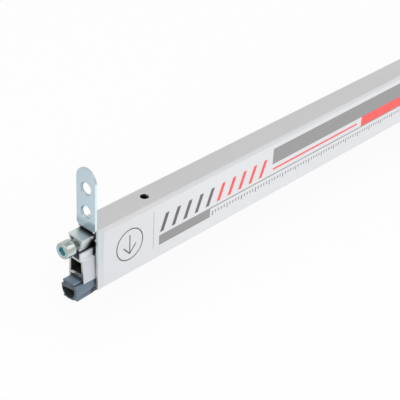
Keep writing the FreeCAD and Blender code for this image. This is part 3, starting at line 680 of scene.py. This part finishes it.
# A flat form between two depths, from its outline seen from the front.
def addPlate(sheet, ink, outline, front, back):
    points, faces, slots = sheet
    base, count = len(points), len(outline)
    points += [(x, front, z) for x, z in outline] + [(x, back, z) for x, z in outline]
    faces += [[base + i for i in range(count)], [base + count + i for i in range(count)][::-1]]
    for i in range(count):
        j = (i + 1) % count
        faces.append((base + i, base + i + count, base + j + count, base + j))
    slots += [film["finishes"].index(ink)] * (count + 2)


def addRing(sheet, ink, centre, inner, outer, front, back):
    points, faces, slots = sheet
    base, steps = len(points), film["ringSteps"]
    for radius, y in ((inner, back), (inner, front), (outer, front), (outer, back)):
        for step in range(steps):
            angle = 2 * math.pi * step / steps
            points.append(((centre[0] + radius * math.cos(angle)) * mm, y,
                           (centre[1] + radius * math.sin(angle)) * mm))
    for loop in range(4):
        for step in range(steps):
            following = (step + 1) % steps
            a, b = base + loop * steps, base + (loop + 1) % 4 * steps
            faces.append((a + step, b + step, b + following, a + following))
    slots += [film["finishes"].index(ink)] * (4 * steps)


def filmOutline(low, high):
    outline, radius, steps = [], film["cornerRadius"], film["cornerSteps"]
    for cx, cz, first in ((high.x - radius, low.z + radius, 270), (high.x - radius, high.z - radius, 0),
                          (low.x + radius, high.z - radius, 90), (low.x + radius, low.z + radius, 180)):
        for step in range(steps + 1):
            angle = math.radians(first + step * 90 / steps)
            outline.append((cx + radius * math.cos(angle), cz + radius * math.sin(angle)))
    return outline


def buildFilm():
    low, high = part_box("product_label")
    back, front = high.y, high.y - film["depth"]
    proud, sunk = front - film["inkDepth"], front + film["inkSunk"]
    sheet = ([], [], [])
    addPlate(sheet, "film", filmOutline(low, high), front, back)
    for ink, corners in inkFields:
        addPlate(sheet, ink, corners, proud, sunk)
    radius, width = film["ring"]
    addRing(sheet, "darkInk", film["mark"], radius - width / 2, radius + width / 2, proud, sunk)
    piece = newPiece(film["name"], meshFrom(film["name"], *sheet), "housing", *film["finishes"])
    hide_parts("product_label")


def layOutInk():
    inkArrow("darkInk", film["mark"], **film["arrow"])
    inkBar(*film["divider"])
    for number in range(film["bars"]):
        left = film["barStart"] + film["barStep"] * number
        inkBar("darkInk" if number < film["darkBars"] else "redInk", left, left + film["barWidth"],
               *film["barHeight"], slant=film["barSlant"])
    for band in film["lowBands"]:
        inkBar(*band)
    foot, top = film["tickHeight"]
    for number in range(film["ticks"]):
        left = film["tickStart"] + film["tickStep"] * number
        shorter = film["shortBy"] if number % film["longTick"] else 0.0
        inkBar("darkInk", left, left + film["tickWidth"], foot + shorter, top)
    for band in film["highBands"]:
        inkBar(*band)


layOutInk()
buildFilm()
print("stage 4: printed film")


# The adjusting screw: a turned head with a hexagon socket, and a rolled thread.

screwLow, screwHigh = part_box("adjusting_screw")
screw = {
    "name": "socketScrew",
    "finishes": ("steel", "socket", "thread", "headSide"),
    "axis": Vector((0, (screwLow.y + screwHigh.y) / 2, (screwLow.z + screwHigh.z) / 2)),
    "face": screwLow.x,
    "tip": screwHigh.x,
    "headRadius": (screwHigh.z - screwLow.z) / 2,
    "headLength": 4.8 * mm,
    "edge": 0.6 * mm,
    "edgeSteps": 7,
    "backRound": ((0.25, 0.0), (0.08, 0.07), (0.0, 0.25)),    # (from the back, from the side)
    "neck": 0.25 * mm,
    "shankRadius": 2.0 * mm,
    "hexAcross": 3.7 * mm,
    "hexTurn": 0.35,
    "leadIn": 0.2 * mm,       # the eased mouth of the socket
    "socketDepth": 2.2 * mm,
    "socketFloor": 0.92,      # share of the hexagon that is left at the socket's floor
    "socketPoint": 0.5 * mm,
    "socketCurve": 0.05 * mm,
    "pitch": 0.7 * mm,
    "pitchSteps": 8,
    "threadDepth": 0.38 * mm,
    "threadStart": 0.3 * mm,
    "threadEnd": 0.4 * mm,
    "crest": 1.35,            # how wide the thread's crest is
    "flank": 3.4,             # and how steep its flanks are
    "runOut": 1.0 * mm,       # where the thread fades towards the tip
    "sides": 72,
}


def hexRadius(angle, across, turn):
    sector = math.fmod(angle + turn + math.pi * 4, math.pi / 3) - math.pi / 6
    return across / 2 / math.cos(sector)


# Rings round an axis, each as (x, radius, finish), with both ends closed. A radius may depend on the angle.
def lathe(profile, sides, axis):
    points, faces, slots = [], [], []
    for x, radius, _ in profile:
        for side in range(sides):
            angle = 2 * math.pi * side / sides
            r = radius(angle) if callable(radius) else radius
            points.append((x, axis.y + r * math.cos(angle), axis.z + r * math.sin(angle)))
    for ring in range(1, len(profile)):
        faces += ringFaces((ring - 1) * sides, ring * sides, sides)
        slots += [profile[ring][2]] * sides
    last = (len(profile) - 1) * sides
    faces += [list(range(sides))[::-1], list(range(last, last + sides))]
    slots += [profile[0][2], profile[-1][2]]
    return points, faces, slots


def headRings(s, back, plain, inSocket, onSide):
    def socket(angle):
        return hexRadius(angle, s["hexAcross"], s["hexTurn"])

    deep = s["face"] + s["socketDepth"]
    rings = [
        (deep + s["socketPoint"], s["socketCurve"], inSocket),
        (deep, lambda angle: s["socketFloor"] * socket(angle), inSocket),
        (deep - s["socketCurve"], socket, inSocket),
        (s["face"] + s["leadIn"], socket, inSocket),
        (s["face"], lambda angle: socket(angle) + s["leadIn"], inSocket),
        (s["face"], s["headRadius"] - s["edge"], plain),
    ]
    for step in range(1, s["edgeSteps"] + 1):
        angle = math.radians(90 * step / s["edgeSteps"])
        rings.append((s["face"] + s["edge"] * (1 - math.cos(angle)),
                      s["headRadius"] - s["edge"] * (1 - math.sin(angle)),
                      plain if step * 2 < s["edgeSteps"] + 1 else onSide))
    rings += [(back - fromBack * mm, s["headRadius"] - fromSide * mm, onSide)
              for fromBack, fromSide in s["backRound"]]
    return rings + [(back, s["shankRadius"] + s["neck"], plain)]


def threadRings(s, back, onThread):
    def threadAt(x):
        def radius(angle):
            turn = math.fmod(x / s["pitch"] - angle / (2 * math.pi) + 1000, 1.0)
            height = min(1.0, max(0.0, s["crest"] - abs(turn - 0.5) * s["flank"]))
            run = min(1.0, (s["tip"] - x) / s["runOut"])
            return s["shankRadius"] - s["threadDepth"] * (1 - height * run) - 0.02 * mm
        return radius

    pace = s["pitch"] / s["pitchSteps"]
    steps = int((s["tip"] - back - s["threadStart"] - s["threadEnd"]) / pace)
    places = [back + s["threadStart"] + step * pace for step in range(steps + 1)]
    return ([(back + 0.25 * mm, s["shankRadius"] - 0.05 * mm, onThread)]
            + [(x, threadAt(x), onThread) for x in places]
            + [(s["tip"], s["shankRadius"] - s["threadDepth"] - 0.3 * mm, onThread)])


def buildScrew():
    back = screw["face"] + screw["headLength"]
    plain, inSocket, onThread, onSide = range(len(screw["finishes"]))
    profile = headRings(screw, back, plain, inSocket, onSide) + threadRings(screw, back, onThread)
    mesh = meshFrom(screw["name"], *lathe(profile, screw["sides"], screw["axis"]), smooth=True)
    mesh.set_sharp_from_angle(angle=math.radians(38))
    piece = newPiece(screw["name"], mesh, "screw", *screw["finishes"])
    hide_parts("adjusting_screw")


buildScrew()
print("stage 5: screw")


# The silicone seal: one section along the carrier, fuller and twisted where it comes out at the near end.

sealLow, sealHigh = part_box("silicone_seal")
seal = {
    "name": "siliconeSeal",
    "finishes": ("silicone", "siliconeInside", "siliconeCut"),
    "pivot": -24.5,
    "twist": 10.0,
    "headTwist": 2.4,
    "twistReach": 9.0,
    "twistPower": 1.3,     # how fast the twist fades over that reach
    "blendTop": 0.1,       # over the pivot, where the head's twist starts to go over to the bulb's
    "blendHeight": 0.5,
    "freeLength": 4.3,     # from the near end to where the carrier starts to hold the head
    "changeLength": 0.6,
    "pinch": 0.08,         # how much narrower the bulb is inside the housing
    "pinchStart": 9.4,
    "pinchEnd": 10.8,
    "hollowShift": 0.5,
    "notch": (1, 4),       # from the T's lower edge to the bulb's top, by corner; painted dark as shade
    "cornerSteps": 6,
    "cornerReach": (0.06, 0.49),    # shortest in millimetres, longest as a share of the side
    "bottomGap": 0.02 * mm,
    "stations": 170,
    "crowding": 2.2,       # how much closer the stations stand at the near end
    # Corners of one side of the section, each as (y, z, rounding). At the near end the head is free.
    "freeHead": [(3.25, -23.17, 0.3), (3.25, -24.22, 0.25), (1.7, -24.22, 0.1), (1.7, -24.9, 0.1),
                 (3.0, -24.9, 0.1), (4.4, -24.8, 0.8)],
    "heldHead": [(3.23, -23.19, 0.15), (3.23, -23.89, 0.12), (1.88, -23.89, 0.05), (1.88, -24.57, 0.1),
                 (3.0, -24.57, 0.1), (4.4, -24.57, 0.7)],
    "bulb": [(4.6, -27.7, 1.5), (4.2, -29.2, 0.7), (3.6, -30.05, 0.15), (4.42, -31.25, 0.1),
             (4.4, -31.5, 0.08), (2.76, -31.2, 0.3), (1.6, -31.83, 0.7)],
    "hollow": [(3.8, -26.5, 0.6), (3.6, -28.3, 1.2), (2.6, -30.3, 1.2), (1.3, -31.1, 0.6)],
}


# A closed line through corners, each given as (y, z, rounding).
def roundedPath(corners):
    path, (shortest, longest) = [], seal["cornerReach"]
    for number, (y, z, radius) in enumerate(corners):
        here = Vector((y, z))
        before = Vector(corners[number - 1][:2])
        after = Vector(corners[(number + 1) % len(corners)][:2])
        toward, away = (before - here).normalized(), (after - here).normalized()
        half = math.acos(max(-1.0, min(1.0, toward.dot(away)))) / 2
        reach = max(shortest, min(radius / math.tan(half), longest * (before - here).length,
                                  longest * (after - here).length))
        start, end = here + toward * reach, here + away * reach
        for step in range(seal["cornerSteps"]):
            share = step / (seal["cornerSteps"] - 1)
            path.append((1 - share) ** 2 * start + 2 * share * (1 - share) * here + share ** 2 * end)
    return path


def mirrored(half):
    return half + [(-y, z, radius) for y, z, radius in half[::-1]]


sealFree = roundedPath(mirrored(seal["freeHead"] + seal["bulb"]))
sealHeld = roundedPath(mirrored(seal["heldHead"] + seal["bulb"]))
sealHollow = roundedPath(mirrored(seal["hollow"]))


# 0 before start, 1 after end, and the share of the way between them.
def partWay(value, start, end):
    return min(1.0, max(0.0, (value - start) / (end - start)))


# The points of the section at x: its outer line, then the hollow's.
def sealRing(x):
    s = seal
    pivot = Vector((0, s["pivot"]))
    way = (x - sealLow.x) / mm
    held = partWay(way, s["freeLength"], s["freeLength"] + s["changeLength"])
    turn = max(0.0, 1.0 - way / s["twistReach"]) ** s["twistPower"]
    inside = partWay(way, s["pinchStart"], s["pinchEnd"])
    blendTop = s["pivot"] + s["blendTop"]
    outer = [free.lerp(tight, held) for free, tight in zip(sealFree, sealHeld)]
    hollow = [place + Vector((s["hollowShift"] * (1 - inside), 0)) for place in sealHollow]
    ring = []
    for place in outer + hollow:
        if place.y < s["pivot"]:
            place = Vector((place.x * (1 - s["pinch"] * inside), place.y))
        share = 1.0 - partWay(place.y, blendTop - s["blendHeight"], blendTop)
        angle = math.radians(s["headTwist"] + (s["twist"] - s["headTwist"]) * share) * turn
        spun = Matrix.Rotation(-angle, 2) @ (place - pivot) + pivot
        ring.append((x, spun.x * mm, max(spun.y * mm, sealLow.z + s["bottomGap"])))
    return ring


# Flat caps at both ends, between the outer line and the hollow's.
def closeSealEnds(mesh, stations, counts, finishSlot):
    form = bmesh.new()
    form.from_mesh(mesh)
    form.verts.ensure_lookup_table()
    for station in (0, stations - 1):
        edges, start = [], station * sum(counts)
        for count in counts:
            for step in range(count):
                pair = (form.verts[start + step], form.verts[start + (step + 1) % count])
                edges.append(form.edges.get(pair))
            start += count
        for made in bmesh.ops.triangle_fill(form, use_beauty=True, use_dissolve=False, edges=edges)["geom"]:
            if isinstance(made, bmesh.types.BMFace):
                made.material_index = finishSlot
                made.smooth = False
    bmesh.ops.recalc_face_normals(form, faces=form.faces)
    form.to_mesh(mesh)
    form.free()


def buildSeal():
    outside, inside, cut = range(len(seal["finishes"]))
    points, faces, slots = [], [], []
    xs = [sealLow.x + (sealHigh.x - sealLow.x) * (station / seal["stations"]) ** seal["crowding"]
          for station in range(seal["stations"] + 1)]
    for x in xs:
        points += sealRing(x)
    counts = (len(sealFree), len(sealHollow))
    ring = sum(counts)
    # The hollow and the notch take the dark silicone: painted shade.
    first, last = (seal["cornerSteps"] * (corner + 1) - 1 for corner in seal["notch"])
    dark = set(range(first, last)) | {counts[0] - 2 - step for step in range(first, last)}
    for station in range(len(xs) - 1):
        start = station * ring
        for line, count in enumerate(counts):
            faces += ringFaces(start, start + ring, count)
            slots += [inside if line or step in dark else outside for step in range(count)]
            start += count
    mesh = meshFrom(seal["name"], points, faces, slots, smooth=True)
    closeSealEnds(mesh, len(xs), counts, cut)
    mesh.set_sharp_from_angle(angle=math.radians(40))
    piece = newPiece(seal["name"], mesh, "drop_seal", *seal["finishes"])
    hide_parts("silicone_seal")


buildSeal()
print("stage 6: seal")


# The leaf springs: a bowed strip in three stretches.

leaf = {
    "bow": 3.75,
    "thickness": 0.5,
    "width": 5.0,
    "edge": 0.1,
    "eye": 1.3,            # from the pin's axis to the middle of the strip
    "eyeStart": -70.0,
    "eyeTurn": 280.0,
    "lead": 3.4,           # where the strip leaves its bow for the eye
    "still": 15.0,         # from the slider's pin to where the strip no longer slides
    "foot": 5.5,           # half the length that lies on the foot
    "step": 1.5,
    "eyeSteps": 24,
    "bendSteps": 8,
    "leaving": 0.8,        # pull of the bend's curve where it leaves the eye
    "arriving": 1.2,       # and where it meets the bow
}


# Middle line of the strip from the pin inwards, as (distance from the pin, height over the pin).
def leafLine(span):
    half = span / 2
    radius = (half ** 2 + leaf["bow"] ** 2) / 2 / leaf["bow"]

    def bowed(u):
        return Vector((u, radius - leaf["bow"] - math.sqrt(radius ** 2 - (half - u) ** 2)))

    ring = [leaf["eye"] * Vector((math.cos(angle), math.sin(angle))) for angle in
            (math.radians(leaf["eyeStart"] - leaf["eyeTurn"] * (1 - step / leaf["eyeSteps"]))
             for step in range(leaf["eyeSteps"] + 1))]
    start, end = ring[-1], bowed(leaf["lead"])
    leaving = Vector((-start.y, start.x)).normalized()
    arriving = (bowed(leaf["lead"] + 0.1) - end).normalized()
    bend = []
    for step in range(1, leaf["bendSteps"]):
        t = step / leaf["bendSteps"]
        bend.append((1 - t) ** 3 * start + 3 * t * (1 - t) ** 2 * (start + leaf["leaving"] * leaving)
                    + 3 * t * t * (1 - t) * (end - leaf["arriving"] * arriving) + t ** 3 * end)
    count = int((half - leaf["lead"]) / leaf["step"])
    run = [bowed(leaf["lead"] + (half - leaf["lead"]) * step / count) for step in range(count + 1)]
    return ring + bend, run


# The strip's section swept along a line.
def leafStretch(name, nodeName, pin, inwards, line):
    half, thick, edge = leaf["width"] / 2, leaf["thickness"] / 2, leaf["edge"]
    section = [(half, edge - thick), (half, thick - edge), (half - edge, thick), (edge - half, thick),
               (-half, thick - edge), (-half, edge - thick), (edge - half, -thick), (half - edge, -thick)]
    points, faces = [], []
    for number, place in enumerate(line):
        ahead = line[min(number + 1, len(line) - 1)] - line[max(number - 1, 0)]
        normal = Vector((-ahead.y, ahead.x)).normalized()
        for y, rise in section:
            spot = place + normal * rise
            points.append((pin.x + inwards * spot.x * mm, y * mm, pin.z + spot.y * mm))
    around = len(section)
    for number in range(len(line) - 1):
        faces += ringFaces(number * around, (number + 1) * around, around)
    faces += [tuple(range(around))[::-1], tuple(range(len(points) - around, len(points)))]
    mesh = meshFrom(name, points, faces, smooth=True)
    form = bmesh.new()
    form.from_mesh(mesh)
    bmesh.ops.recalc_face_normals(form, faces=form.faces)
    form.to_mesh(mesh)
    form.free()
    mesh.set_sharp_from_angle(angle=math.radians(30))
    piece = newPiece(name, mesh, None, "spring")
    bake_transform(piece)
    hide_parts(nodeName)


def buildLeaf(where, nodeName):
    low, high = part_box(nodeName)
    reach = (leaf["eye"] + leaf["thickness"] / 2) * mm
    span = (high.x - low.x - 2 * reach) / mm
    sliderPin = Vector((low.x + reach, 0, high.z - reach))
    anchorPin = Vector((high.x - reach, 0, high.z - reach))
    eye, run = leafLine(span)
    still = min(range(len(run)), key=lambda number: abs(run[number].x - leaf["still"]))
    leafStretch(where + "LeafAnchorSide", nodeName, anchorPin, -1, eye + run)
    leafStretch(where + "LeafSliderSide", nodeName, sliderPin, 1, run[still:])
    leafStretch(where + "LeafSliderEye", nodeName, sliderPin, 1, eye + run[:still + 1])


buildLeaf("near", "near_leaf_spring")
buildLeaf("far", "far_leaf_spring")
print("stage 7: leaf springs")


# Floor, lamps, world and camera. The floor is where the seal reaches it at full drop.

studio = {
    "fullDrop": 12.0 * mm,
    "floorReach": 4.0,
    "floorColour": (0.96, 0.96, 0.96, 1),
    "floorWhite": 0.88,       # share of plain white that the camera sees in the floor
    "softWorld": 0.76,
    "lamps": (
        {"name": "frontLamp", "place": (-0.9, -1.6, 1.1), "target": (-0.1, 0, 0),
         "power": 9.0, "width": 1.4, "glossy": False},
        {"name": "keyLamp", "place": (0.98, -1.03, 1.06), "target": (-0.2, 0, 0),
         "power": 3.0, "width": 1.2, "glossy": True},
        {"name": "endLamp", "place": (-1.8, 0.2, 0.9), "target": (-0.2, 0, 0),
         "power": 4.0, "width": 1.2, "glossy": True},
    ),
}
floorLevel = cadBox[0].z - studio["fullDrop"]


# 1 for rays that come from the camera, a mirror or glass, else 0.
def whiteRays(tree):
    path = addNode(tree, "LightPath")
    shiny = addNode(tree, "Math", operation="MAXIMUM")
    tree.links.new(path.outputs["Is Glossy Ray"], shiny.inputs[0])
    tree.links.new(path.outputs["Is Transmission Ray"], shiny.inputs[1])
    seen = addNode(tree, "Math", operation="MAXIMUM")
    tree.links.new(path.outputs["Is Camera Ray"], seen.inputs[0])
    tree.links.new(shiny.outputs[0], seen.inputs[1])
    return seen.outputs[0]


def buildFloor():
    reach = studio["floorReach"]
    sides = ((-1, -1), (1, -1), (1, 1), (-1, 1))
    corners = [(x * reach, y * reach, floorLevel) for x, y in sides]
    mesh = meshFrom("studioFloor", corners, [(0, 1, 2, 3)])
    floor = newObject("studioFloor", mesh)
    material, tree, shader = newMaterial("paleFloor", Base_Color=studio["floorColour"], Roughness=0.9,
                                         Specular_IOR_Level=0.1)
    glow = addNode(tree, "Emission", Strength=1.0)
    mix = addNode(tree, "MixShader")
    share = addNode(tree, "Math", operation="MULTIPLY")
    share.inputs[1].default_value = studio["floorWhite"]
    tree.links.new(whiteRays(tree), share.inputs[0])
    tree.links.new(share.outputs[0], mix.inputs[0])
    tree.links.new(shader.outputs[0], mix.inputs[1])
    tree.links.new(glow.outputs[0], mix.inputs[2])
    output = next(node for node in tree.nodes if node.type == "OUTPUT_MATERIAL")
    tree.links.new(mix.outputs[0], output.inputs[0])
    mesh.materials.append(material)


def addLamp(name, place, target, power, width, glossy):
    data = bpy.data.lights.new(name, "AREA")
    data.energy = power
    data.shape = "DISK"
    data.size = width
    lamp = newObject(name, data)
    lamp.visible_glossy = glossy
    lamp.location = place
    lamp.rotation_euler = (Vector(target) - Vector(place)).to_track_quat("-Z", "Y").to_euler()


def buildWorld():
    world = bpy.data.worlds.new("studioWorld")
    bpy.context.scene.world = world
    world.use_nodes = True
    tree = world.node_tree
    tree.nodes.clear()
    output = addNode(tree, "OutputWorld")
    soft = addNode(tree, "Background", Color=(1, 1, 1, 1), Strength=studio["softWorld"])
    white = addNode(tree, "Background", Color=(1, 1, 1, 1), Strength=1.0)
    mix = addNode(tree, "MixShader")
    tree.links.new(whiteRays(tree), mix.inputs[0])
    tree.links.new(soft.outputs[0], mix.inputs[1])
    tree.links.new(white.outputs[0], mix.inputs[2])
    tree.links.new(mix.outputs[0], output.inputs[0])


view = {
    "focalPixels": 1193.594,
    "frame": 400,             # width of the photograph in pixels
    "sensor": 36.0,
    "azimuth": -48.428,
    "elevation": 32.4,
    "roll": 3.151,
    "place": (-0.48970, -0.30445, 0.27388),
    "clip": (0.02, 20),
}


def buildCamera():
    data = bpy.data.cameras.new("photoCamera")
    data.sensor_width = view["sensor"]
    data.lens = view["focalPixels"] * view["sensor"] / view["frame"]
    data.clip_start, data.clip_end = view["clip"]
    camera = newObject("photoCamera", data)
    around, above, roll = (math.radians(view[key]) for key in ("azimuth", "elevation", "roll"))
    back = Vector((math.sin(around) * math.cos(above), -math.cos(around) * math.cos(above), math.sin(above)))
    right = (-back).cross(Vector((0, 0, 1))).normalized()
    up = right.cross(-back)
    turned = math.cos(roll) * right + math.sin(roll) * up
    risen = -math.sin(roll) * right + math.cos(roll) * up
    turn = Matrix((turned, risen, back)).transposed().to_4x4()
    camera.matrix_world = Matrix.Translation(view["place"]) @ turn
    bpy.context.scene.camera = camera


buildFloor()
buildWorld()
for lamp in studio["lamps"]:
    addLamp(**lamp)
buildCamera()
bpy.context.scene.view_settings.view_transform = "Standard"
print("stage 8: studio")
